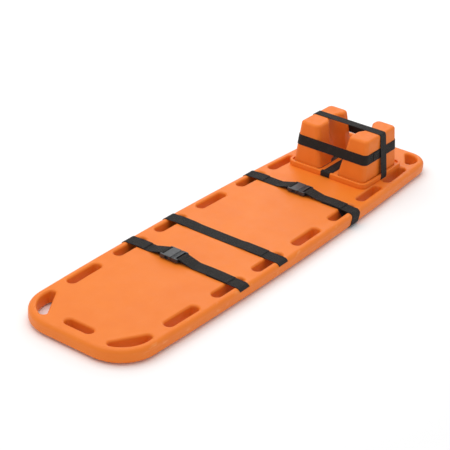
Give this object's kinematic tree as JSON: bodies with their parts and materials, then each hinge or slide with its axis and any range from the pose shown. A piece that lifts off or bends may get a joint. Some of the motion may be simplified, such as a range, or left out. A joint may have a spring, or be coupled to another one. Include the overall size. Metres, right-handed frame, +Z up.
{
  "type": "spine board",
  "caption": "Long rescue board with hand slots all round, body straps with side release buckles, and a head immobiliser with tapered blocks and straps.",
  "frame": {"origin": "middle of the board's flat underside", "axes": "+X along the board towards the head end, +Z up, +Y towards the patient's right side"},
  "size_m": [1.82, 0.4832, 0.2247],
  "materials": {
    "board_plastic": "smooth moulded, slight sheen",
    "core_foam": "closed cell foam",
    "body_webbing": "woven",
    "head_webbing": "woven",
    "buckle_plastic": "satin",
    "base_plastic": "smooth moulded",
    "block_coating": "coated foam",
    "hook_and_loop": "hook and loop",
    "grip_rubber": "ribbed"
  },
  "bodies": {
    "board": {"board_shell": "board_plastic", "foam_core": "core_foam", "strap_1_far_webbing": "body_webbing", "strap_1_female_buckle": "buckle_plastic", "strap_1_near_tail": "body_webbing", "strap_2_rail_loop": "body_webbing", "strap_2_near_tail": "body_webbing", "strap_3_far_webbing": "body_webbing", "strap_3_female_buckle": "buckle_plastic", "strap_3_near_loop": "body_webbing"},
    "strap_1_male_side": {"strap_1_male_buckle": "buckle_plastic", "strap_1_near_webbing": "body_webbing"},
    "strap_2_flap_side": {"strap_2_flap": "body_webbing"},
    "strap_3_male_side": {"strap_3_male_buckle": "buckle_plastic", "strap_3_near_webbing": "body_webbing"},
    "immobiliser": {"immobiliser_base": "base_plastic", "base_grip_1": "grip_rubber", "base_grip_2": "grip_rubber", "base_grip_3": "grip_rubber", "base_grip_4": "grip_rubber", "loop_pad_right": "hook_and_loop", "loop_pad_left": "hook_and_loop", "wide_strap": "head_webbing", "wide_strap_tab": "head_webbing", "top_strap": "head_webbing", "centre_strap": "head_webbing"},
    "right_block": {"head_block_right": "block_coating", "hook_pad_right": "hook_and_loop"},
    "left_block": {"head_block_left": "block_coating", "hook_pad_left": "hook_and_loop"}
  },
  "joints": [
    {"name": "strap_1_buckle_release", "type": "slide", "parent": "board", "child": "strap_1_male_side", "axis": [0, -1, 0], "range_m": [0, 0.036]},
    {"name": "strap_2_flap_lift", "type": "hinge", "parent": "board", "child": "strap_2_flap_side", "pos_m": [-0.1315, 0.15, 0.0566], "axis": [-1, 0, 0], "range_deg": [0, 75]},
    {"name": "strap_3_buckle_release", "type": "slide", "parent": "board", "child": "strap_3_male_side", "axis": [0, -1, 0], "range_m": [0, 0.036]},
    {"name": "immobiliser_lift", "type": "slide", "parent": "board", "child": "immobiliser", "axis": [0, 0, 1], "range_m": [0, 0.12]},
    {"name": "right_block_slide", "type": "slide", "parent": "immobiliser", "child": "right_block", "axis": [0, -1, 0], "range_m": [0, 0.012]},
    {"name": "left_block_slide", "type": "slide", "parent": "immobiliser", "child": "left_block", "axis": [0, 1, 0], "range_m": [0, 0.012]}
  ]
}
